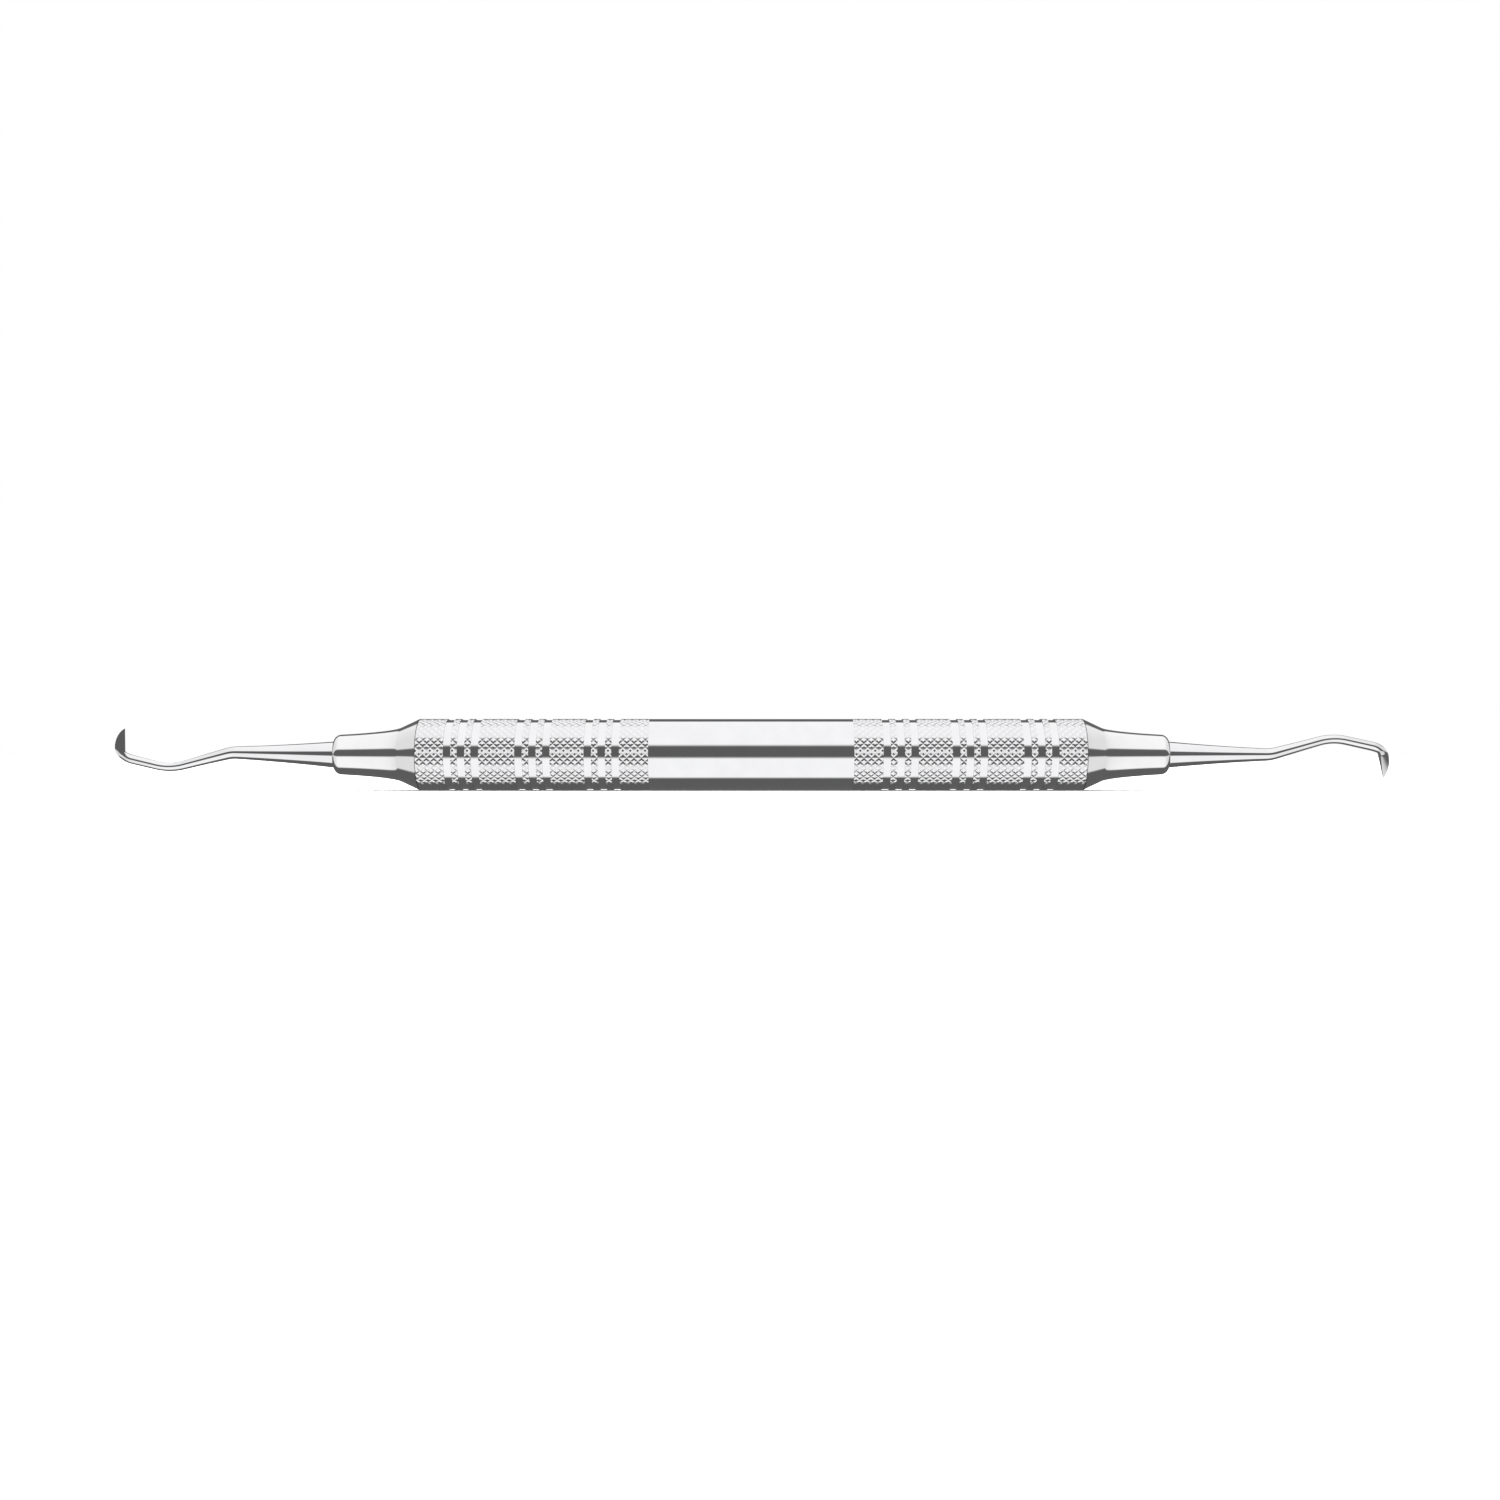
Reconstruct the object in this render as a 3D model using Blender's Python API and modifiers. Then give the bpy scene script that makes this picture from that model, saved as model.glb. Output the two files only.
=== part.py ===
"""Hand scaler: a double-ended dental instrument.

A hollow handle tube carries a turned cone at each end, and each cone holds the tang of a
forged tip: a tapered, twice-bent shank that ends in a sickle blade. The handle's axis is X,
the origin is the middle of the handle, and +Z is up. Lengths are in metres.
"""
import math

import bpy

MM = 0.001

# Handle: the tube and everything turned on its axis.
HANDLE_RADIUS = 4.75 * MM
TUBE_HALF_LENGTH = 43.9 * MM
TUBE_BORE_RADIUS = 4.0 * MM
EDGE_CHAMFER = 0.05 * MM
SIDES = 24

# Finger grooves: sets of three shallow rings, the same on both halves of the tube.
GROOVE_SETS = (19.56 * MM, 28.59 * MM, 37.9 * MM)
GROOVES_PER_SET = 3
GROOVE_PITCH = 1.81 * MM
GROOVE_WIDTH = 0.98 * MM
GROOVE_DEPTH = 0.15 * MM
GROOVE_FLANK = 0.1 * MM

# Cones: end pieces, with a spigot in the tube and a blind bore for the tang.
CLEARANCE = 0.05 * MM
SPIGOT_LENGTH = 5.0 * MM
TAPER_END = (46.4 * MM, 3.6 * MM)
WAIST = (47.3 * MM, 3.15 * MM)
NOSE_START = (52.5 * MM, 2.77 * MM)
NOSE_END_RADIUS = 2.66 * MM
NOSE_LENGTH = 0.95 * MM
NOSE_HEIGHT = 0.8 * MM
CONE_END = 55.3 * MM
TANG_RADIUS = 1.75 * MM
TANG_LENGTH = 9.0 * MM

# Tips: the shank's bends and taper, measured along the handle axis from the middle.
ROOT = CONE_END
ROOT_DIAMETER = 3.5 * MM
NECK_DIAMETER = 1.17 * MM
HEEL_DIAMETER = 1.22 * MM
TAPER_POWER = 1.85
BEND_1_START = 68.3 * MM
BEND_1_ANGLE = math.radians(15.5)
BEND_1_RADIUS = 5.0 * MM
RISE_LENGTH = 6.0 * MM
BEND_2_ANGLE = math.radians(-28.0)
BEND_2_RADIUS = 7.5 * MM
TERMINAL_LENGTH = 3.3 * MM
TERMINAL_SLOPE = BEND_1_ANGLE + BEND_2_ANGLE

# Blade: a triangular sickle with a straight face towards the handle and a curved back. The
# heel rounds the corner between the shank and the blade, on its inside and its outside.
HEEL_CORNER = (83.25 * MM, 0.28 * MM)
HEEL_REACH = 1.1 * MM
HEEL_ROUND = 0.15 * MM
FACE_START = 0.4 * MM
BLADE_DEPTH = 1.28 * MM
BLADE_WIDTH = 0.75 * MM
BLADE_START = 0.7 * MM
BACK_FULL_TO = 0.53
BACK_BEND = (0.83, 0.66)
APEX_SIZE = 0.06 * MM
FACE_TURN = math.radians(8.0)

# The pair is bent and ground by hand: lean of the whole shank, how far the blade opens
# outwards, and the lengths of the terminal shank and the blade.
TIPS = {
    "tip_left": {
        "side": -1, "lean": math.radians(1.15), "opening": math.radians(-0.5),
        "terminal": 3.3 * MM, "blade": 3.2 * MM,
    },
    "tip_right": {
        "side": 1, "lean": 0.0, "opening": math.radians(9.0),
        "terminal": 3.5 * MM, "blade": 3.42 * MM,
    },
}
SECTION_POINTS = 12
SHANK_STATIONS = 14
BEND_STATIONS = 5
HEEL_STATIONS = 6
BLADE_STATIONS = 7

# Finishes: colour, roughness.
KNURLED_STEEL = ((0.62, 0.62, 0.63, 1.0), 0.32)
TURNED_STEEL = ((0.66, 0.66, 0.67, 1.0), 0.16)
BLADE_STEEL = ((0.6, 0.6, 0.62, 1.0), 0.2)


def clear_scene():
    for obj in list(bpy.data.objects):
        bpy.data.objects.remove(obj, do_unlink=True)


def steel(name, finish):
    """A stainless steel material from a (colour, roughness) pair."""
    colour, roughness = finish
    material = bpy.data.materials.new(name)
    material.use_nodes = True
    shader = material.node_tree.nodes["Principled BSDF"]
    shader.inputs["Base Color"].default_value = colour
    shader.inputs["Metallic"].default_value = 1.0
    shader.inputs["Roughness"].default_value = roughness
    material.diffuse_color = colour
    return material


def add_object(name, mesh, material, collection):
    obj = bpy.data.objects.new(name, mesh)
    mesh.materials.append(material)
    collection.objects.link(obj)
    return obj


def bezier(points, t):
    """A point at t on the Bezier curve with these control points, in the plane."""
    points = [tuple(point) for point in points]
    while len(points) > 1:
        points = [
            (a[0] + (b[0] - a[0]) * t, a[1] + (b[1] - a[1]) * t)
            for a, b in zip(points, points[1:])
        ]
    return points[0]


def smooth(t):
    t = min(1.0, max(0.0, t))
    return t * t * (3.0 - 2.0 * t)


def turned(name, outline, side, material, collection):
    """Turn a (distance along the axis, radius) outline about the handle axis.

    The outline runs from its far end back to the middle of the handle on its outer side.
    The many-sided section has flats at the stated radius, and one flat faces straight down.
    """
    half_step = math.tan(math.pi / SIDES)
    points = [(radius, radius * half_step, along) for along, radius in outline]
    closed = outline[0][1] > 0.0
    edges = [(i, i + 1) for i in range(len(points) - 1)]
    if closed:
        edges.append((len(points) - 1, 0))
    mesh = bpy.data.meshes.new(name)
    mesh.from_pydata(points, edges, [])
    obj = add_object(name, mesh, material, collection)
    obj.rotation_euler = (0.0, side * math.pi / 2, 0.0)
    screw = obj.modifiers.new("Turn", "SCREW")
    screw.axis = "Z"
    screw.angle = 2 * math.pi
    screw.steps = SIDES
    screw.render_steps = SIDES
    screw.use_merge_vertices = True
    screw.merge_threshold = 1e-6
    screw.use_smooth_shade = False
    weld = obj.modifiers.new("Weld", "WELD")
    weld.merge_threshold = 1e-6
    return obj


def groove_outline(centre):
    """One ring groove in the tube's outer side, from its far edge to its near edge."""
    half = GROOVE_WIDTH / 2
    floor = HANDLE_RADIUS - GROOVE_DEPTH
    return [
        (centre + half, HANDLE_RADIUS),
        (centre + half - GROOVE_FLANK, floor),
        (centre - half + GROOVE_FLANK, floor),
        (centre - half, HANDLE_RADIUS),
    ]


def make_tube(collection):
    offsets = [(i - (GROOVES_PER_SET - 1) / 2) * GROOVE_PITCH for i in range(GROOVES_PER_SET)]
    sets = [side * centre for side in (-1, 1) for centre in GROOVE_SETS]
    grooves = sorted((centre + offset for centre in sets for offset in offsets), reverse=True)
    end = TUBE_HALF_LENGTH
    outline = [(end, HANDLE_RADIUS - EDGE_CHAMFER), (end - EDGE_CHAMFER, HANDLE_RADIUS)]
    for centre in grooves:
        outline += groove_outline(centre)
    outline += [(-end + EDGE_CHAMFER, HANDLE_RADIUS), (-end, HANDLE_RADIUS - EDGE_CHAMFER)]
    outline += [(-end, TUBE_BORE_RADIUS), (end, TUBE_BORE_RADIUS)]
    material = steel("knurled_steel", KNURLED_STEEL)
    return turned("handle_tube", outline, 1, material, collection)


def cone_outline():
    """From the blind end of the tang bore, out over the nose, and back to the spigot's end."""
    bore = TANG_RADIUS + CLEARANCE
    bottom = CONE_END - TANG_LENGTH - CLEARANCE
    shoulder = TUBE_HALF_LENGTH + CLEARANCE
    spigot = TUBE_BORE_RADIUS - CLEARANCE
    outline = [(bottom, 0.0), (bottom, bore), (CONE_END, bore)]
    arc_centre = (CONE_END - NOSE_LENGTH, NOSE_END_RADIUS - NOSE_HEIGHT)
    arc_steps = 3
    for i in range(arc_steps + 1):
        angle = math.pi / 2 * i / arc_steps
        along = arc_centre[0] + NOSE_LENGTH * math.cos(angle)
        outline.append((along, arc_centre[1] + NOSE_HEIGHT * math.sin(angle)))
    curve_steps = 5
    for i in range(curve_steps + 1):
        outline.append(bezier((NOSE_START, WAIST, TAPER_END), i / curve_steps))
    outline.append((shoulder, HANDLE_RADIUS))
    outline.append((shoulder, spigot))
    outline.append((shoulder - SPIGOT_LENGTH, spigot))
    outline.append((shoulder - SPIGOT_LENGTH, 0.0))
    return outline


def make_cone(name, side, collection):
    return turned(name, cone_outline(), side, steel(name + "_steel", TURNED_STEEL), collection)


def shank_path(terminal):
    """Stations down the shank's centre line, as (along, up, heading) from root to heel."""
    stations = []
    for i in range(SHANK_STATIONS):
        along = ROOT + (BEND_1_START - ROOT) * i / SHANK_STATIONS
        stations.append((along, 0.0, 0.0))
    along, up, heading = BEND_1_START, 0.0, 0.0
    bends = ((BEND_1_ANGLE, BEND_1_RADIUS, RISE_LENGTH),
             (BEND_2_ANGLE, BEND_2_RADIUS, terminal))
    for angle, radius, run in bends:
        turn = math.copysign(radius, angle)
        start = (along, up, heading)
        for i in range(BEND_STATIONS + 1):
            heading = start[2] + angle * i / BEND_STATIONS
            along = start[0] + turn * (math.sin(heading) - math.sin(start[2]))
            up = start[1] - turn * (math.cos(heading) - math.cos(start[2]))
            stations.append((along, up, heading))
        along += run * math.cos(heading)
        up += run * math.sin(heading)
    stations.append((along, up, heading))
    return stations


def shank_radius(along):
    """The shank tapers fast at the root, is thinnest at the second bend, and grows a little."""
    neck = BEND_1_START + RISE_LENGTH + BEND_2_RADIUS / 2
    if along < neck:
        left = (neck - along) / (neck - ROOT)
        return (NECK_DIAMETER + (ROOT_DIAMETER - NECK_DIAMETER) * left ** TAPER_POWER) / 2
    grown = (along - neck) / (HEEL_CORNER[0] - neck)
    return (NECK_DIAMETER + (HEEL_DIAMETER - NECK_DIAMETER) * grown) / 2


def heel_corner(terminal):
    """The inner corner between shank and blade, farther out on a longer terminal shank."""
    longer = terminal - TERMINAL_LENGTH
    return (HEEL_CORNER[0] + longer * math.cos(TERMINAL_SLOPE),
            HEEL_CORNER[1] + longer * math.sin(TERMINAL_SLOPE))


def tip_stations(opening, terminal, blade):
    """Sections as (inner point, outer point, half width, triangle share), root to apex."""
    corner = heel_corner(terminal)
    start = ROOT - TANG_LENGTH
    sections = [
        ((start, -TANG_RADIUS), (start, TANG_RADIUS), TANG_RADIUS, 0.0),
        ((ROOT - CLEARANCE, -TANG_RADIUS), (ROOT - CLEARANCE, TANG_RADIUS), TANG_RADIUS, 0.0),
    ]
    path = shank_path(terminal)
    for along, up, heading in path[1:]:
        radius = shank_radius(along)
        across = (-math.sin(heading) * radius, math.cos(heading) * radius)
        inner = (along - across[0], up - across[1])
        outer = (along + across[0], up + across[1])
        sections.append((inner, outer, radius, 0.0))

    heading = path[-1][2]
    shank_way = (math.cos(heading), math.sin(heading))
    face_way = (math.sin(opening), -math.cos(opening))
    back_way = (math.cos(opening), math.sin(opening))

    def on_blade(down, depth):
        return (corner[0] + face_way[0] * down + back_way[0] * depth,
                corner[1] + face_way[1] * down + back_way[1] * depth)

    def along_shank(point, distance):
        return (point[0] + shank_way[0] * distance, point[1] + shank_way[1] * distance)

    inner_curve = (inner, along_shank(corner, -HEEL_ROUND),
                   on_blade(HEEL_ROUND / 2, 0.0), on_blade(FACE_START, 0.0))
    outer_curve = (outer, along_shank(outer, HEEL_REACH),
                   on_blade(BLADE_START - HEEL_REACH, BLADE_DEPTH),
                   on_blade(BLADE_START, BLADE_DEPTH))
    for i in range(1, HEEL_STATIONS + 1):
        t = i / HEEL_STATIONS
        half_width = radius + (BLADE_WIDTH / 2 - radius) * smooth(t)
        sections.append((bezier(inner_curve, t), bezier(outer_curve, t), half_width, smooth(t)))

    back_curve = ((BLADE_START, BLADE_DEPTH), (blade * BACK_FULL_TO, BLADE_DEPTH),
                  (blade * BACK_BEND[0], BLADE_DEPTH * BACK_BEND[1]), (blade, APEX_SIZE))
    for i in range(1, BLADE_STATIONS + 1):
        t = i / BLADE_STATIONS
        down, depth = bezier(back_curve, t)
        face_down = FACE_START + (blade - FACE_START) * t
        half_width = (BLADE_WIDTH + (APEX_SIZE - BLADE_WIDTH) * t) / 2
        sections.append((on_blade(face_down, 0.0), on_blade(down, depth), half_width, 1.0))
    return sections


def section_ring(inner, outer, half_width, share):
    """Points round one section: a circle, a triangle with its flat inside, or between."""
    third = SECTION_POINTS // 3
    corners = [(1.0, 0.0), (-1.0, 1.0), (-1.0, -1.0)]
    ring = []
    for i in range(SECTION_POINTS):
        angle = 2 * math.pi * i / SECTION_POINTS
        here = corners[i // third]
        following = corners[(i // third + 1) % 3]
        part = (i % third) / third
        flat_depth = here[0] + (following[0] - here[0]) * part
        flat_width = here[1] + (following[1] - here[1]) * part
        depth = math.cos(angle) * (1 - share) + flat_depth * share
        width = math.sin(angle) * (1 - share) + flat_width * share
        middle = ((inner[0] + outer[0]) / 2, (inner[1] + outer[1]) / 2)
        along = middle[0] + (outer[0] - inner[0]) / 2 * depth
        up = middle[1] + (outer[1] - inner[1]) / 2 * depth
        ring.append((along, width * half_width, up))
    return ring


def turn_blade(point, corner, share):
    """Turn a point of the blade about the heel corner's upright, so its face looks sideways."""
    along, across, up = point
    angle = FACE_TURN * share
    reach = along - corner[0]
    turned_along = corner[0] + reach * math.cos(angle) - across * math.sin(angle)
    turned_across = reach * math.sin(angle) + across * math.cos(angle)
    return (turned_along, turned_across, up)


def make_tip(name, fit, collection):
    """Loft one tip. The left tip is the right one turned inside out through the origin."""
    side = fit["side"]
    corner = heel_corner(fit["terminal"])
    verts = []
    for section in tip_stations(fit["opening"], fit["terminal"], fit["blade"]):
        share = section[-1]
        for point in section_ring(*section):
            along, across, up = turn_blade(point, corner, share)
            up -= math.tan(fit["lean"]) * max(0.0, along - ROOT)
            verts.append((side * along, side * across, side * up))
    count = SECTION_POINTS
    faces = [tuple(range(count))]
    for start in range(0, len(verts) - count, count):
        for i in range(count):
            j = (i + 1) % count
            faces.append((start + i, start + count + i, start + count + j, start + j))
    faces.append(tuple(reversed(range(len(verts) - count, len(verts)))))
    if side < 0:
        faces = [tuple(reversed(face)) for face in faces]
    mesh = bpy.data.meshes.new(name)
    mesh.from_pydata(verts, [], faces)
    mesh.shade_smooth()
    return add_object(name, mesh, steel(name + "_steel", BLADE_STEEL), collection)


def main():
    clear_scene()
    collection = bpy.data.collections.new("hand_scaler")
    bpy.context.scene.collection.children.link(collection)
    make_tube(collection)
    make_cone("cone_left", -1, collection)
    make_cone("cone_right", 1, collection)
    for name, fit in TIPS.items():
        make_tip(name, fit, collection)


main()
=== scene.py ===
"""Looks of the hand scaler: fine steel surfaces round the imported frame.

The frame is in metres, with +X along the handle and +Z up. Each CAD node is replaced by a
finer mesh of the same piece: the tube gets its true diamond knurl, the cones and the tips get
smooth turned and forged surfaces. The studio is a plain white table under soft lights.
"""
import math

import bpy
import numpy as np
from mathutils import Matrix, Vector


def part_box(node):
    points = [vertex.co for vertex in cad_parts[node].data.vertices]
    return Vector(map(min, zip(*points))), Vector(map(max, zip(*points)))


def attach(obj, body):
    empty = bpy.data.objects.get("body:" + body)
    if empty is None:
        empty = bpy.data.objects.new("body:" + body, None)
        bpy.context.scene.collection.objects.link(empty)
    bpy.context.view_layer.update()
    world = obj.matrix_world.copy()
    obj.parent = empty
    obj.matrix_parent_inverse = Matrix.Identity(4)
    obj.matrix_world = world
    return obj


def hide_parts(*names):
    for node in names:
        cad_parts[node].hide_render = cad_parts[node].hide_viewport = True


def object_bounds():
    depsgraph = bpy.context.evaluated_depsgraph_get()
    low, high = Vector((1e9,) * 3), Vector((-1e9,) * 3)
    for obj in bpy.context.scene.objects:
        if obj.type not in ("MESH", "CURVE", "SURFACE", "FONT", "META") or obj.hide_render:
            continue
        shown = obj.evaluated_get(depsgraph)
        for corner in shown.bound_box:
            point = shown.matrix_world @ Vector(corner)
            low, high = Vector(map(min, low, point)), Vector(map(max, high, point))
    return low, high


MM = 0.001
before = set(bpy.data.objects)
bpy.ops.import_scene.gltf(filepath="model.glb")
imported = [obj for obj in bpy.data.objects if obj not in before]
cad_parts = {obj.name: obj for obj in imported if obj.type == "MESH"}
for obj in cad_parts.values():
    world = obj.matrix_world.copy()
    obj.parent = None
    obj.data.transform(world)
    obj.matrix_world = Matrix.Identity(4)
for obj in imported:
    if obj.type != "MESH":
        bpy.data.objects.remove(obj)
CAD_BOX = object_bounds()

# The handle, from the frame.
TUBE_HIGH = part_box("handle_tube")[1]
HANDLE_RADIUS = TUBE_HIGH[2]
TUBE_HALF_LENGTH = TUBE_HIGH[0]
TUBE_BORE_RADIUS = 4.0 * MM
CONE_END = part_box("cone_right")[1][0]

# Knurl: two families of V grooves at 45 degrees that leave low four-sided pyramids. The
# profile goes from the middle of a valley, in pitches, up to a small flat top.
KNURL_STARTS = 32
KNURL_PITCH = 0.967 * MM
KNURL_SHIFT = 0.3
KNURL_TURN = math.radians(0.775)
KNURL_DEPTH = 0.07 * MM
KNURL_PROFILE = ((0.0, 0.0), (0.3, 0.92), (0.4, 1.0))
KNURL_STEPS = 10
END_CHAMFER = 0.05 * MM
TUBE_SHARP_ANGLE = math.radians(7.0)

# Finger grooves and the plain middle band. Each wall drops steeply, and at WALL_TURN of its
# width and height it eases into the floor.
GROOVE_SETS = (19.56 * MM, 28.59 * MM, 37.9 * MM)
GROOVES_PER_SET = 3
GROOVE_PITCH = 1.81 * MM
GROOVE_WIDTH = 0.98 * MM
GROOVE_DEPTH = 0.15 * MM
BAND_HALF_LENGTH = 13.46 * MM
BAND_DEPTH = 0.02 * MM
WALL_WIDTH = 0.02 * MM
WALL_TURN = 0.3
FLOOR_RING_SPACING = 0.6 * MM

# Cones.
CLEARANCE = 0.05 * MM
SPIGOT_LENGTH = 5.0 * MM
TAPER_END = (46.4 * MM, 3.6 * MM)
WAIST = (47.3 * MM, 3.15 * MM)
NOSE_START = (52.5 * MM, 2.77 * MM)
NOSE_END_RADIUS = 2.66 * MM
NOSE_LENGTH = 0.95 * MM
NOSE_HEIGHT = 0.8 * MM
TANG_RADIUS = 1.75 * MM
TANG_LENGTH = 9.0 * MM
BORE_CHAMFER = 0.05 * MM
NOSE_STEPS = 12
CURVE_STEPS = 28
TURNED_COLUMNS = 192
CONE_SHARP_ANGLE = math.radians(30.0)

# Shanks.
ROOT = CONE_END
ROOT_DIAMETER = 3.5 * MM
NECK_DIAMETER = 1.17 * MM
HEEL_DIAMETER = 1.22 * MM
TAPER_POWER = 1.85
BEND_1_START = 68.3 * MM
BEND_1_ANGLE = math.radians(15.5)
BEND_1_RADIUS = 5.0 * MM
RISE_LENGTH = 6.0 * MM
BEND_2_ANGLE = math.radians(-28.0)
BEND_2_RADIUS = 7.5 * MM
TERMINAL_LENGTH = 3.3 * MM
TERMINAL_SLOPE = BEND_1_ANGLE + BEND_2_ANGLE
SHANK_STATIONS = 60
BEND_STATIONS = 16
RUN_STATIONS = 16

# Blades.
HEEL_CORNER = (83.25 * MM, 0.28 * MM)
HEEL_REACH = 1.1 * MM
HEEL_ROUND = 0.15 * MM
FACE_START = 0.4 * MM
BLADE_DEPTH = 1.28 * MM
BLADE_WIDTH = 0.75 * MM
BLADE_START = 0.7 * MM
BACK_FULL_TO = 0.53
BACK_BEND = (0.83, 0.66)
APEX_SIZE = 0.05 * MM
FACE_TURN = math.radians(8.0)
TIP_COLUMNS = 48
HEEL_STATIONS = 24
BLADE_STATIONS = 28
TIP_SHARP_ANGLE = math.radians(28.0)

# The pair is bent and ground by hand: lean of the whole shank, how far the blade opens
# outwards, and the lengths of the terminal shank and the blade.
TIPS = {
    "tip_left": {
        "side": -1, "lean": math.radians(1.15), "opening": math.radians(-0.5),
        "terminal": 3.3 * MM, "blade": 3.2 * MM,
    },
    "tip_right": {
        "side": 1, "lean": 0.0, "opening": math.radians(9.0),
        "terminal": 3.5 * MM, "blade": 3.42 * MM,
    },
}

# Finishes. The steel's tint drifts between two levels in soft clouds; machining lines give it
# a faint relief. Their scale along X, Y and Z makes rings on turned steel and long lines on
# the tips.
CLOUD_SCALE = 420.0
CLOUD_TINT = 0.96
# The knurl's valleys are darker in colour: painted shade, with some grime.
VALLEY_SHADE_AND_GRIME = 0.85
VALLEY_ROUGHNESS = 0.05
SATIN_ROUGHNESS = 0.06
SATIN_FADE = 0.8 * MM
LINE_STRENGTH = 0.06
LINE_DEPTH = 0.01 * MM
RING_LINES = (4.0e4, 60.0, 60.0)
LONG_LINES = (900.0, 9000.0, 9000.0)
KNURLED_COLOUR = (0.64, 0.64, 0.65)
TURNED_COLOUR = (0.66, 0.66, 0.665)
BLADE_COLOUR = (0.64, 0.64, 0.65)
KNURLED_ROUGHNESS = (0.05, 0.09)
TURNED_ROUGHNESS = (0.04, 0.08)
BLADE_ROUGHNESS = (0.015, 0.035)

# Camera: level with the handle, square to its axis.
CAMERA_DISTANCE = 240.0 * MM
FRAME_WIDTH = 199.35 * MM
CAMERA_ASIDE = -0.16 * MM
CAMERA_HEIGHT = 0.62 * MM
SENSOR_WIDTH = 36.0

# The table and the light over it.
TABLE_SIZE = 4.0
TABLE_GRAIN = 900.0
TABLE_TINTS = (0.9, 0.94)
LIGHT_SIZE = 1.2
LIGHT_HEIGHT = 0.9
LIGHT_ENERGY = 22.0

# The studio that the steel reflects, by the angle round the handle: 0 is the camera's side,
# 90 is overhead and -90 underneath. Two long soft boxes stand in a dim room, one overhead and
# one low in front, and both fade towards the handle's ends.
SOFT_BOXES = (
    (math.radians(-80.0), math.radians(-10.0)),
    (math.radians(30.0), math.radians(135.0)),
)
SOFT_EDGE = math.radians(10.0)
BOX_BRIGHTNESS = 1.8
ROOM_BRIGHTNESS = 0.2
BOX_FADE = (0.3, 0.8)
END_SHARE = 0.75


# ---------------------------------------------------------------- small helpers

def smooth(t):
    t = min(1.0, max(0.0, t))
    return t * t * (3.0 - 2.0 * t)


def bezier(points, t):
    """A point at t on the Bezier curve with these control points, in the plane."""
    points = [tuple(point) for point in points]
    while len(points) > 1:
        points = [
            (a[0] + (b[0] - a[0]) * t, a[1] + (b[1] - a[1]) * t)
            for a, b in zip(points, points[1:])
        ]
    return points[0]


def add_piece(name, verts, faces, material, node):
    """A mesh object that stands for a CAD node and rides on the frame's one body."""
    mesh = bpy.data.meshes.new(name)
    mesh.from_pydata([tuple(v) for v in verts], [], faces)
    mesh.validate()
    mesh.shade_smooth()
    mesh.materials.append(material)
    piece = bpy.data.objects.new(name, mesh)
    bpy.context.scene.collection.objects.link(piece)
    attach(piece, "root")
    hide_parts(node)
    return piece


# ---------------------------------------------------------------- materials

class Nodes:
    """Short names for building one node tree."""

    def __init__(self, tree):
        self.tree = tree

    def add(self, kind, **settings):
        node = self.tree.nodes.new(kind)
        for key, value in settings.items():
            setattr(node, key, value)
        return node

    def link(self, source, target):
        self.tree.links.new(source, target)

    def math(self, operation, a, b=None):
        node = self.add("ShaderNodeMath", operation=operation)
        for socket, value in zip(node.inputs, (a, b)):
            self.feed(socket, value)
        return node.outputs[0]

    def feed(self, socket, value):
        if value is None:
            return
        if isinstance(value, bpy.types.NodeSocket):
            self.link(value, socket)
        else:
            socket.default_value = value

    def noise(self, vector, scale, detail=3.0):
        node = self.add("ShaderNodeTexNoise")
        self.link(vector, node.inputs["Vector"])
        node.inputs["Scale"].default_value = scale
        node.inputs["Detail"].default_value = detail
        return node.outputs["Fac"]

    def stretched(self, vector, scale):
        node = self.add("ShaderNodeMapping")
        self.link(vector, node.inputs["Vector"])
        node.inputs["Scale"].default_value = scale
        return node.outputs["Vector"]

    def ranged(self, value, low, high, to_low, to_high, kind="LINEAR"):
        node = self.add("ShaderNodeMapRange", interpolation_type=kind)
        settings = (value, low, high, to_low, to_high)
        for socket, setting in zip(node.inputs, settings):
            self.feed(socket, setting)
        return node.outputs[0]

    def ramp(self, value, stops):
        """A colour ramp of (position, brightness) stops."""
        node = self.add("ShaderNodeValToRGB")
        self.link(value, node.inputs["Fac"])
        elements = node.color_ramp.elements
        while len(elements) < len(stops):
            elements.new(0.5)
        for element, (position, level) in zip(elements, stops):
            element.position = position
            element.color = (level, level, level, 1.0)
        return node.outputs["Color"]


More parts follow.
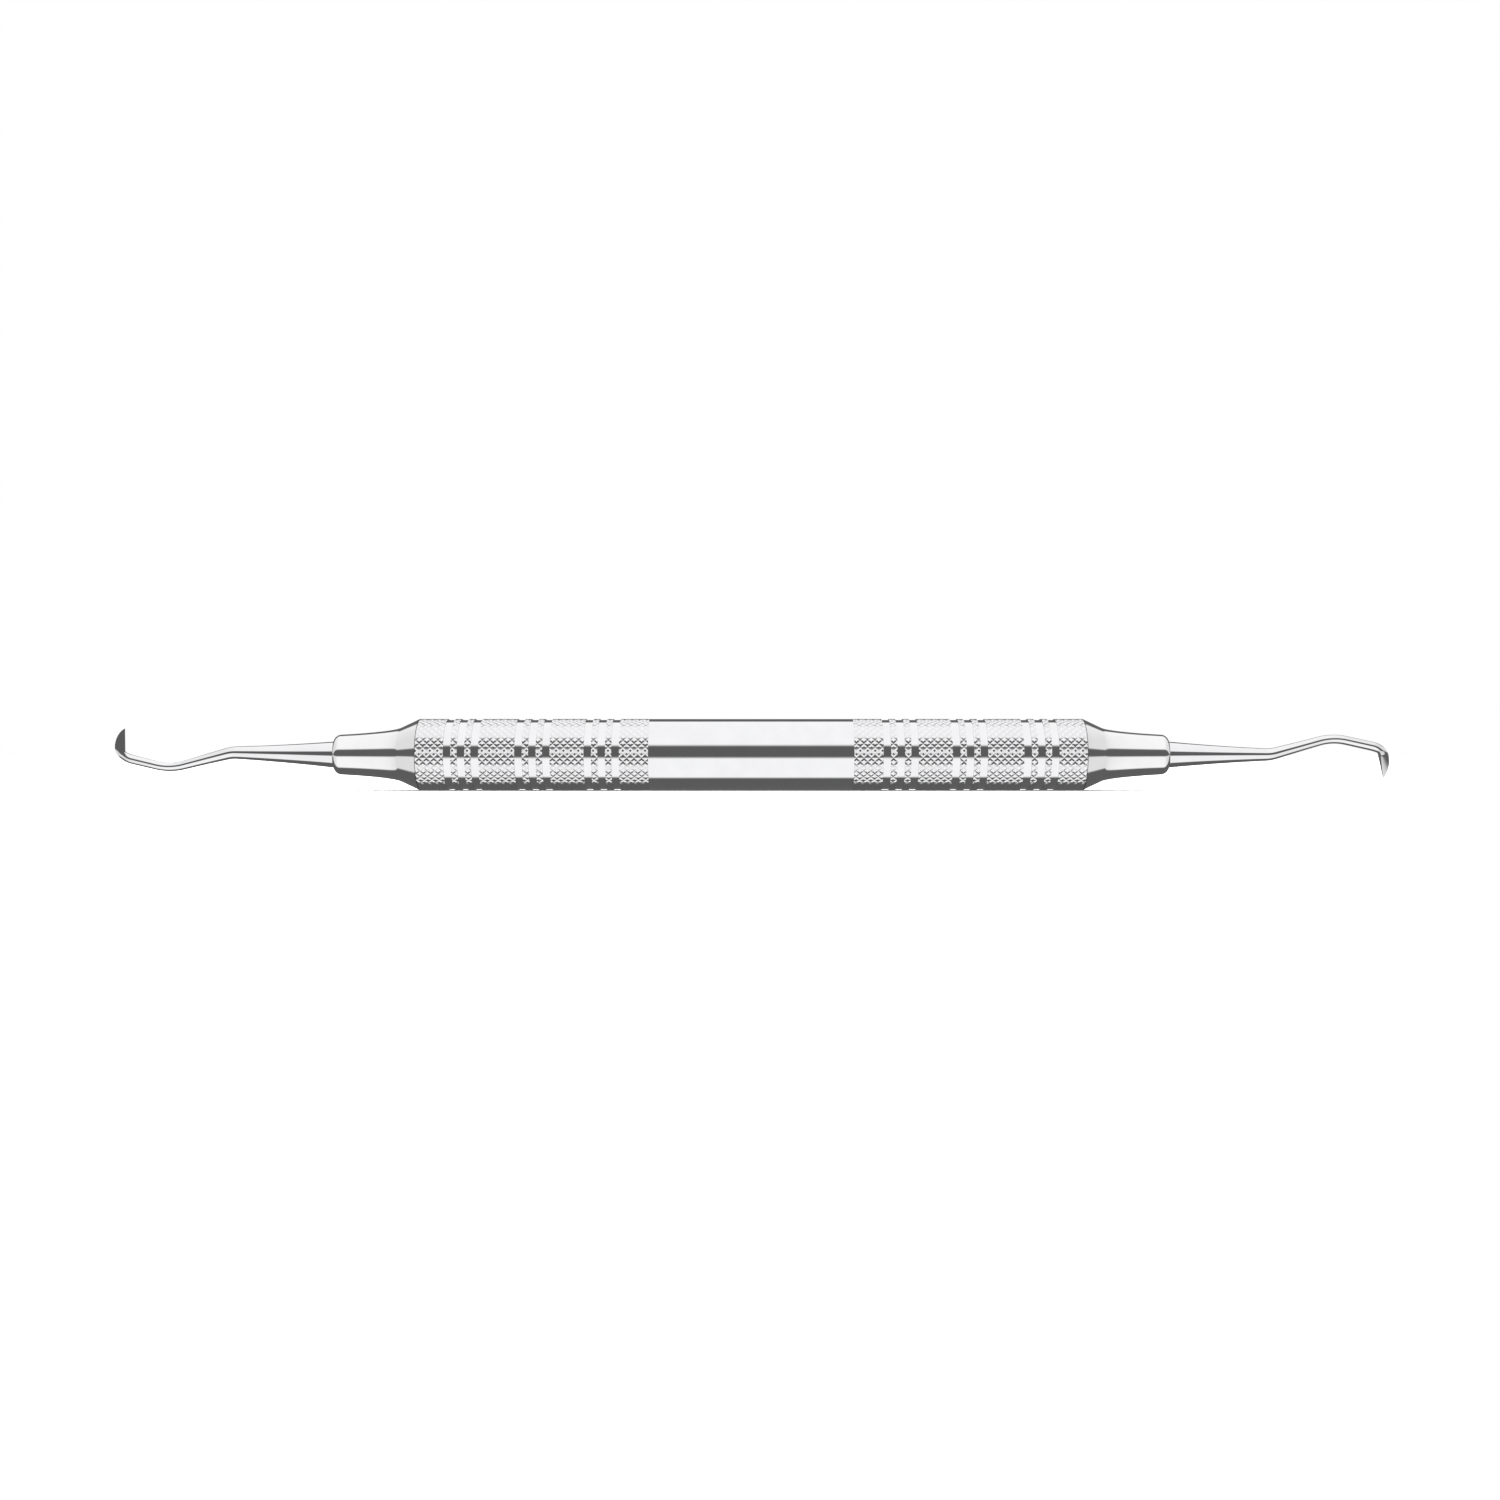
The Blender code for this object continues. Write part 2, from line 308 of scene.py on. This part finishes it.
def steel(name, colour, roughness, lines, knurled=False, satin_from=None):
    """Polished stainless steel with fine machining lines.

    colour is the crest's reflectance, roughness a (low, high) pair that the polish drifts
    between, and lines the scale of the machining lines along X, Y and Z. A knurled surface is
    rougher and darker off its crests, the darkening being painted shade with some grime;
    beyond satin_from along X the steel is ground to a satin.
    """
    material = bpy.data.materials.new(name)
    material.use_nodes = True
    n = Nodes(material.node_tree)
    shader = n.tree.nodes["Principled BSDF"]
    place = n.add("ShaderNodeTexCoord").outputs["Object"]
    streaks = n.noise(n.stretched(place, lines), 1.0, 4.0)
    clouds = n.noise(place, CLOUD_SCALE, 2.0)

    tint = n.add("ShaderNodeMix", data_type="RGBA")
    n.link(n.ranged(clouds, 0.3, 0.7, 0.0, 1.0), tint.inputs["Factor"])
    tint.inputs["A"].default_value = (*[c * CLOUD_TINT for c in colour], 1.0)
    tint.inputs["B"].default_value = (*colour, 1.0)
    surface = tint.outputs["Result"]
    rough = n.ranged(streaks, 0.25, 0.75, roughness[0], roughness[1])
    if knurled:
        # Off the crests the colour darkens: painted shade in the knurl's valleys, with some
        # grime.
        crest = n.add("ShaderNodeAttribute", attribute_name="crest").outputs["Fac"]
        shade = n.add("ShaderNodeMix", data_type="RGBA")
        n.link(n.ranged(crest, 0.0, 0.3, 0.0, 1.0), shade.inputs["Factor"])
        shade.inputs["A"].default_value = (*[c * VALLEY_SHADE_AND_GRIME for c in colour], 1.0)
        n.link(surface, shade.inputs["B"])
        surface = shade.outputs["Result"]
        rough = n.math("ADD", rough, n.ranged(crest, 0.9, 1.0, VALLEY_ROUGHNESS, 0.0))
    if satin_from is not None:
        parts = n.add("ShaderNodeSeparateXYZ")
        n.link(place, parts.inputs[0])
        outward = n.math("ABSOLUTE", parts.outputs[0])
        satin = n.ranged(outward, satin_from, satin_from + SATIN_FADE, 0.0, SATIN_ROUGHNESS)
        rough = n.math("ADD", rough, satin)
    n.link(surface, shader.inputs["Base Color"])
    n.link(rough, shader.inputs["Roughness"])
    shader.inputs["Metallic"].default_value = 1.0

    bump = n.add("ShaderNodeBump")
    bump.inputs["Strength"].default_value = LINE_STRENGTH
    bump.inputs["Distance"].default_value = LINE_DEPTH
    n.link(streaks, bump.inputs["Height"])
    n.link(bump.outputs["Normal"], shader.inputs["Normal"])
    return material


# ---------------------------------------------------------------- the handle tube

def groove_centres():
    """The middle of every ring groove, from the left end to the right."""
    offsets = [(i - (GROOVES_PER_SET - 1) / 2) * GROOVE_PITCH for i in range(GROOVES_PER_SET)]
    sets = [side * centre for side in (-1, 1) for centre in GROOVE_SETS]
    return sorted(centre + offset for centre in sets for offset in offsets)


def turned_stretches():
    """The smooth stretches cut into the knurl: (start, end, depth), from left to right."""
    half = GROOVE_WIDTH / 2
    cuts = [(centre - half, centre + half, GROOVE_DEPTH) for centre in groove_centres()]
    cuts.append((-BAND_HALF_LENGTH, BAND_HALF_LENGTH, BAND_DEPTH))
    return sorted(cuts)


def knurled_rings(start, end):
    """Rings of a knurled stretch, on the knurl's own lattice so that its valleys stay crisp."""
    step = KNURL_PITCH / KNURL_STEPS
    gap = step / 4
    first = math.ceil((start + gap) / step)
    last = math.floor((end - gap) / step)
    middle = [i * step for i in range(first, last + 1)]
    return [(along, HANDLE_RADIUS, 1.0) for along in [start] + middle + [end]]


def smooth_rings(start, end, depth):
    """Rings of a turned stretch: a short rounded wall at each side and a level floor."""
    floor = HANDLE_RADIUS - depth
    turn = floor + depth * WALL_TURN
    floor_length = end - start - 2 * WALL_WIDTH
    count = max(3, int((end - start) / FLOOR_RING_SPACING))
    rings = [(start + WALL_WIDTH * WALL_TURN, turn, 0.0)]
    for i in range(count + 1):
        rings.append((start + WALL_WIDTH + floor_length * i / count, floor, 0.0))
    rings.append((end - WALL_WIDTH * WALL_TURN, turn, 0.0))
    return rings


def tube_rings():
    """All rings of the tube's outside as (along, radius, share of knurl), left to right."""
    rings = []
    here = -TUBE_HALF_LENGTH
    for start, end, depth in turned_stretches():
        rings += knurled_rings(here, start)
        rings += smooth_rings(start, end, depth)
        here = end
    rings += knurled_rings(here, TUBE_HALF_LENGTH)
    return rings


def knurl_crest(along, angle):
    """1 on the pyramids' flat tops, 0 in the valleys."""
    s = along / KNURL_PITCH + KNURL_SHIFT
    t = (angle - KNURL_TURN) * KNURL_STARTS / (2 * math.pi)
    first = np.abs(s + t - np.round(s + t))
    second = np.abs(s - t - np.round(s - t))
    return np.interp(np.minimum(first, second), *zip(*KNURL_PROFILE))


def make_tube(material):
    columns = KNURL_STARTS * KNURL_STEPS
    angle = np.arange(columns) * 2 * math.pi / columns + KNURL_TURN
    rings = np.array(tube_rings())
    along, radius, share = (rings[:, i:i + 1] for i in range(3))
    crest = knurl_crest(along, angle)
    crest = crest * share + (1.0 - share)
    outside = radius - KNURL_DEPTH * (1.0 - crest)
    to_end = TUBE_HALF_LENGTH - np.abs(along)
    outside = np.minimum(outside, HANDLE_RADIUS - np.maximum(0.0, END_CHAMFER - to_end))
    bore = np.full((2, columns), TUBE_BORE_RADIUS)
    radii = np.vstack([outside, bore])
    places = np.vstack([along, [[TUBE_HALF_LENGTH], [-TUBE_HALF_LENGTH]]])
    count = len(radii)
    verts = np.empty((count, columns, 3))
    verts[:, :, 0] = places
    verts[:, :, 1] = radii * np.sin(angle)
    verts[:, :, 2] = radii * np.cos(angle)

    middle_crest = knurl_crest((along[:-1] + along[1:]) / 2, angle + math.pi / columns)
    faces = []
    for i in range(count):
        j = (i + 1) % count
        knurled = i < len(along) - 1 and share[i] > 0 and share[j] > 0
        for k in range(columns):
            m = (k + 1) % columns
            a, b = i * columns + m, i * columns + k
            c, d = j * columns + k, j * columns + m
            if not knurled:
                faces.append((a, b, c, d))
                continue
            falling = abs((crest[i, k] + crest[j, m]) / 2 - middle_crest[i, k])
            rising = abs((crest[i, m] + crest[j, k]) / 2 - middle_crest[i, k])
            if falling <= rising:
                faces += [(a, b, d), (b, c, d)]
            else:
                faces += [(a, b, c), (a, c, d)]
    tube = add_piece("knurled_handle_tube", verts.reshape(-1, 3), faces, material,
                     "handle_tube")
    values = np.ones((count, columns))
    values[:len(crest)] = crest
    layer = tube.data.attributes.new("crest", "FLOAT", "POINT")
    layer.data.foreach_set("value", values.ravel())
    tube.data.set_sharp_from_angle(angle=TUBE_SHARP_ANGLE)
    return tube


# ---------------------------------------------------------------- the cones

def cone_outline():
    """From the blind end of the tang bore, out over the nose, and back to the spigot's end."""
    bore = TANG_RADIUS + CLEARANCE
    shoulder = TUBE_HALF_LENGTH + CLEARANCE
    spigot = TUBE_BORE_RADIUS - CLEARANCE
    outline = [(CONE_END - TANG_LENGTH - CLEARANCE, bore), (CONE_END - BORE_CHAMFER, bore)]
    outline.append((CONE_END, bore + BORE_CHAMFER))
    arc_centre = (CONE_END - NOSE_LENGTH, NOSE_END_RADIUS - NOSE_HEIGHT)
    for i in range(NOSE_STEPS + 1):
        angle = math.pi / 2 * i / NOSE_STEPS
        along = arc_centre[0] + NOSE_LENGTH * math.cos(angle)
        outline.append((along, arc_centre[1] + NOSE_HEIGHT * math.sin(angle)))
    for i in range(CURVE_STEPS + 1):
        outline.append(bezier((NOSE_START, WAIST, TAPER_END), i / CURVE_STEPS))
    outline.append((shoulder, HANDLE_RADIUS))
    outline.append((shoulder, spigot))
    outline.append((shoulder - SPIGOT_LENGTH, spigot))
    return outline


def make_cone(name, side, material):
    columns = TURNED_COLUMNS
    outline = cone_outline()
    verts = []
    for along, radius in outline:
        for k in range(columns):
            angle = 2 * math.pi * k / columns
            verts.append((side * along, radius * math.sin(angle), radius * math.cos(angle)))
    faces = [tuple(range(columns))]
    for start in range(0, (len(outline) - 1) * columns, columns):
        for k in range(columns):
            m = (k + 1) % columns
            faces.append((start + k, start + columns + k, start + columns + m, start + m))
    last = (len(outline) - 1) * columns
    faces.append(tuple(reversed(range(last, last + columns))))
    if side > 0:
        faces = [tuple(reversed(face)) for face in faces]
    cone = add_piece("polished_" + name, verts, faces, material, name)
    cone.data.set_sharp_from_angle(angle=CONE_SHARP_ANGLE)
    return cone


# ---------------------------------------------------------------- the tips

def shank_path(terminal):
    """Stations down the shank's centre line, as (along, up, heading) from root to heel."""
    stations = []
    for i in range(SHANK_STATIONS):
        along = ROOT + (BEND_1_START - ROOT) * i / SHANK_STATIONS
        stations.append((along, 0.0, 0.0))
    along, up, heading = BEND_1_START, 0.0, 0.0
    bends = ((BEND_1_ANGLE, BEND_1_RADIUS, RISE_LENGTH),
             (BEND_2_ANGLE, BEND_2_RADIUS, terminal))
    for angle, radius, run in bends:
        turn = math.copysign(radius, angle)
        start = (along, up, heading)
        for i in range(BEND_STATIONS + 1):
            heading = start[2] + angle * i / BEND_STATIONS
            along = start[0] + turn * (math.sin(heading) - math.sin(start[2]))
            up = start[1] - turn * (math.cos(heading) - math.cos(start[2]))
            stations.append((along, up, heading))
        for i in range(1, RUN_STATIONS):
            part = run * i / RUN_STATIONS
            stations.append((along + part * math.cos(heading),
                             up + part * math.sin(heading), heading))
        along += run * math.cos(heading)
        up += run * math.sin(heading)
    stations.append((along, up, heading))
    return stations


def shank_radius(along):
    """The shank tapers fast at the root, is thinnest at the second bend, and grows a little."""
    neck = BEND_1_START + RISE_LENGTH + BEND_2_RADIUS / 2
    if along < neck:
        left = (neck - along) / (neck - ROOT)
        return (NECK_DIAMETER + (ROOT_DIAMETER - NECK_DIAMETER) * left ** TAPER_POWER) / 2
    grown = (along - neck) / (HEEL_CORNER[0] - neck)
    return (NECK_DIAMETER + (HEEL_DIAMETER - NECK_DIAMETER) * grown) / 2


def heel_corner(terminal):
    """The inner corner between shank and blade, farther out on a longer terminal shank."""
    longer = terminal - TERMINAL_LENGTH
    return (HEEL_CORNER[0] + longer * math.cos(TERMINAL_SLOPE),
            HEEL_CORNER[1] + longer * math.sin(TERMINAL_SLOPE))


def tip_stations(opening, terminal, blade):
    """Sections as (inner point, outer point, half width, triangle share), root to apex."""
    corner = heel_corner(terminal)
    start = ROOT - TANG_LENGTH
    sections = [
        ((start, -TANG_RADIUS), (start, TANG_RADIUS), TANG_RADIUS, 0.0),
        ((ROOT - CLEARANCE, -TANG_RADIUS), (ROOT - CLEARANCE, TANG_RADIUS), TANG_RADIUS, 0.0),
    ]
    path = shank_path(terminal)
    for along, up, heading in path[1:]:
        radius = shank_radius(along)
        across = (-math.sin(heading) * radius, math.cos(heading) * radius)
        inner = (along - across[0], up - across[1])
        outer = (along + across[0], up + across[1])
        sections.append((inner, outer, radius, 0.0))

    heading = path[-1][2]
    shank_way = (math.cos(heading), math.sin(heading))
    face_way = (math.sin(opening), -math.cos(opening))
    back_way = (math.cos(opening), math.sin(opening))

    def on_blade(down, depth):
        return (corner[0] + face_way[0] * down + back_way[0] * depth,
                corner[1] + face_way[1] * down + back_way[1] * depth)

    def along_shank(point, distance):
        return (point[0] + shank_way[0] * distance, point[1] + shank_way[1] * distance)

    inner_curve = (inner, along_shank(corner, -HEEL_ROUND),
                   on_blade(HEEL_ROUND / 2, 0.0), on_blade(FACE_START, 0.0))
    outer_curve = (outer, along_shank(outer, HEEL_REACH),
                   on_blade(BLADE_START - HEEL_REACH, BLADE_DEPTH),
                   on_blade(BLADE_START, BLADE_DEPTH))
    for i in range(1, HEEL_STATIONS + 1):
        t = i / HEEL_STATIONS
        half_width = radius + (BLADE_WIDTH / 2 - radius) * smooth(t)
        sections.append((bezier(inner_curve, t), bezier(outer_curve, t), half_width, smooth(t)))

    back_curve = ((BLADE_START, BLADE_DEPTH), (blade * BACK_FULL_TO, BLADE_DEPTH),
                  (blade * BACK_BEND[0], BLADE_DEPTH * BACK_BEND[1]), (blade, APEX_SIZE))
    for i in range(1, BLADE_STATIONS + 1):
        t = i / BLADE_STATIONS
        down, depth = bezier(back_curve, t)
        face_down = FACE_START + (blade - FACE_START) * t
        half_width = (BLADE_WIDTH + (APEX_SIZE - BLADE_WIDTH) * t) / 2
        sections.append((on_blade(face_down, 0.0), on_blade(down, depth), half_width, 1.0))
    return sections


def section_ring(inner, outer, half_width, share):
    """Points round one section: a circle, a triangle with its flat inside, or between."""
    third = TIP_COLUMNS // 3
    corners = [(1.0, 0.0), (-1.0, 1.0), (-1.0, -1.0)]
    ring = []
    for i in range(TIP_COLUMNS):
        angle = 2 * math.pi * i / TIP_COLUMNS
        here = corners[i // third]
        following = corners[(i // third + 1) % 3]
        part = (i % third) / third
        flat_depth = here[0] + (following[0] - here[0]) * part
        flat_width = here[1] + (following[1] - here[1]) * part
        depth = math.cos(angle) * (1 - share) + flat_depth * share
        width = math.sin(angle) * (1 - share) + flat_width * share
        middle = ((inner[0] + outer[0]) / 2, (inner[1] + outer[1]) / 2)
        along = middle[0] + (outer[0] - inner[0]) / 2 * depth
        up = middle[1] + (outer[1] - inner[1]) / 2 * depth
        ring.append((along, width * half_width, up))
    return ring


def turn_blade(point, corner, share):
    """Turn a point of the blade about the heel corner's upright, so its face looks sideways."""
    along, across, up = point
    angle = FACE_TURN * share
    reach = along - corner[0]
    turned_along = corner[0] + reach * math.cos(angle) - across * math.sin(angle)
    turned_across = reach * math.sin(angle) + across * math.cos(angle)
    return (turned_along, turned_across, up)


def make_tip(name, fit, material):
    """Loft one tip. The left tip is the right one turned inside out through the origin."""
    side = fit["side"]
    corner = heel_corner(fit["terminal"])
    verts = []
    for section in tip_stations(fit["opening"], fit["terminal"], fit["blade"]):
        share = section[-1]
        for point in section_ring(*section):
            along, across, up = turn_blade(point, corner, share)
            up -= math.tan(fit["lean"]) * max(0.0, along - ROOT)
            verts.append((side * along, side * across, side * up))
    count = TIP_COLUMNS
    faces = [tuple(range(count))]
    for start in range(0, len(verts) - count, count):
        for i in range(count):
            j = (i + 1) % count
            faces.append((start + i, start + count + i, start + count + j, start + j))
    faces.append(tuple(reversed(range(len(verts) - count, len(verts)))))
    if side < 0:
        faces = [tuple(reversed(face)) for face in faces]
    tip = add_piece("forged_" + name, verts, faces, material, name)
    tip.data.set_sharp_from_angle(angle=TIP_SHARP_ANGLE)
    return tip


# ---------------------------------------------------------------- the studio

def soft_band(n, angle, low, high):
    """1 between low and high, with a soft edge down to 0 on each side."""
    half = SOFT_EDGE / 2
    rising = n.ranged(angle, low - half, low + half, 0.0, 1.0, "SMOOTHSTEP")
    falling = n.ranged(angle, high - half, high + half, 1.0, 0.0, "SMOOTHSTEP")
    return n.math("MULTIPLY", rising, falling)


def make_world():
    """A white backdrop, and the soft boxes that the steel reflects."""
    world = bpy.data.worlds.new("studio")
    bpy.context.scene.world = world
    world.use_nodes = True
    world.node_tree.nodes.clear()
    n = Nodes(world.node_tree)
    parts = n.add("ShaderNodeSeparateXYZ")
    n.link(n.add("ShaderNodeTexCoord").outputs["Generated"], parts.inputs[0])
    x, y, z = parts.outputs
    angle = n.math("ARCTAN2", z, n.math("MULTIPLY", y, -1.0))
    lit = n.math("ADD", *[soft_band(n, angle, low, high) for low, high in SOFT_BOXES])
    fade = n.ranged(n.math("ABSOLUTE", x), *BOX_FADE, 1.0, END_SHARE)
    shine = n.ranged(n.math("MULTIPLY", lit, fade), 0.0, 1.0, ROOM_BRIGHTNESS, BOX_BRIGHTNESS)
    studio = n.add("ShaderNodeBackground")
    n.link(shine, studio.inputs["Strength"])
    backdrop = n.add("ShaderNodeBackground")
    backdrop.inputs["Color"].default_value = (1.0, 1.0, 1.0, 1.0)
    either = n.add("ShaderNodeMixShader")
    n.link(n.add("ShaderNodeLightPath").outputs["Is Camera Ray"], either.inputs[0])
    n.link(studio.outputs[0], either.inputs[1])
    n.link(backdrop.outputs[0], either.inputs[2])
    n.link(either.outputs[0], n.add("ShaderNodeOutputWorld").inputs["Surface"])


def make_floor():
    """A white table that the handle lies on; the studio above stands for its reflection."""
    material = bpy.data.materials.new("white_table")
    material.use_nodes = True
    n = Nodes(material.node_tree)
    shader = n.tree.nodes["Principled BSDF"]
    grain = n.noise(n.add("ShaderNodeTexCoord").outputs["Object"], TABLE_GRAIN)
    tint = n.ramp(grain, ((0.0, TABLE_TINTS[0]), (1.0, TABLE_TINTS[1])))
    n.link(tint, shader.inputs["Base Color"])
    shader.inputs["Roughness"].default_value = 0.9
    bpy.ops.mesh.primitive_plane_add(size=TABLE_SIZE, location=(0, 0, CAD_BOX[0][2]))
    floor = bpy.context.active_object
    floor.name = "table_top"
    floor.data.materials.append(material)
    floor.visible_glossy = False


def make_lights():
    """One wide soft light overhead, seen by the table and not by the steel."""
    light = bpy.data.lights.new("overhead", "AREA")
    light.shape = "RECTANGLE"
    light.size = LIGHT_SIZE
    light.size_y = LIGHT_SIZE
    light.energy = LIGHT_ENERGY
    lamp = bpy.data.objects.new("overhead", light)
    lamp.location = (0.0, 0.0, LIGHT_HEIGHT)
    lamp.visible_glossy = False
    lamp.visible_camera = False
    bpy.context.scene.collection.objects.link(lamp)


def make_camera():
    camera = bpy.data.cameras.new("camera")
    camera.sensor_width = SENSOR_WIDTH
    camera.lens = SENSOR_WIDTH * CAMERA_DISTANCE / FRAME_WIDTH
    camera.clip_start = 0.01
    camera.clip_end = 10.0
    seat = bpy.data.objects.new("camera", camera)
    seat.location = (CAMERA_ASIDE, -CAMERA_DISTANCE, CAMERA_HEIGHT)
    seat.rotation_euler = (math.pi / 2, 0.0, 0.0)
    bpy.context.scene.collection.objects.link(seat)
    bpy.context.scene.camera = seat


def main():
    make_camera()
    knurled = steel("knurled_steel_fine", KNURLED_COLOUR, KNURLED_ROUGHNESS, RING_LINES,
                    knurled=True)
    polished = steel("polished_steel_fine", TURNED_COLOUR, TURNED_ROUGHNESS, RING_LINES)
    blade = steel("blade_steel_fine", BLADE_COLOUR, BLADE_ROUGHNESS, LONG_LINES,
                  satin_from=HEEL_CORNER[0])
    make_tube(knurled)
    make_cone("cone_left", -1, polished)
    make_cone("cone_right", 1, polished)
    for name, fit in TIPS.items():
        make_tip(name, fit, blade)
    make_world()
    make_floor()
    make_lights()
    bpy.context.scene.view_settings.view_transform = "Standard"


main()
